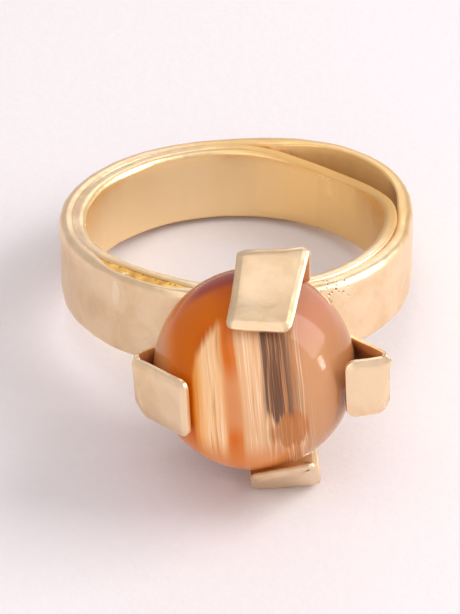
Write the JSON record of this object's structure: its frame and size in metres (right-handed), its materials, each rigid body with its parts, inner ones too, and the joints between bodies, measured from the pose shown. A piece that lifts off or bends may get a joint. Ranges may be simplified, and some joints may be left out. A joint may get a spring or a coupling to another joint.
{
  "type": "cocktail ring",
  "caption": "Hand-made cocktail ring: two-layer band, high-domed banded agate cabochon held by the bent ends of two crossed sheet straps.",
  "frame": {"origin": "centre of the finger hole, halfway along its length", "axes": "+Z along the finger hole's axis, -Y out through the stone's dome, +X to the right seen from the stone's side"},
  "size_m": [0.0208, 0.0302, 0.0144],
  "materials": {
    "gold_sheet": "satin, hammered",
    "gold_solder": "satin, rough",
    "agate": "polished"
  },
  "bodies": {
    "root": {"inner_band": "gold_sheet", "inner_band_solder": "gold_solder", "outer_band": "gold_sheet", "outer_band_solder": "gold_solder", "crescent_solder": "gold_solder", "setting_solder": "gold_solder", "cross_strap": "gold_sheet", "upright_strap": "gold_sheet", "stone": "agate"}
  },
  "joints": []
}
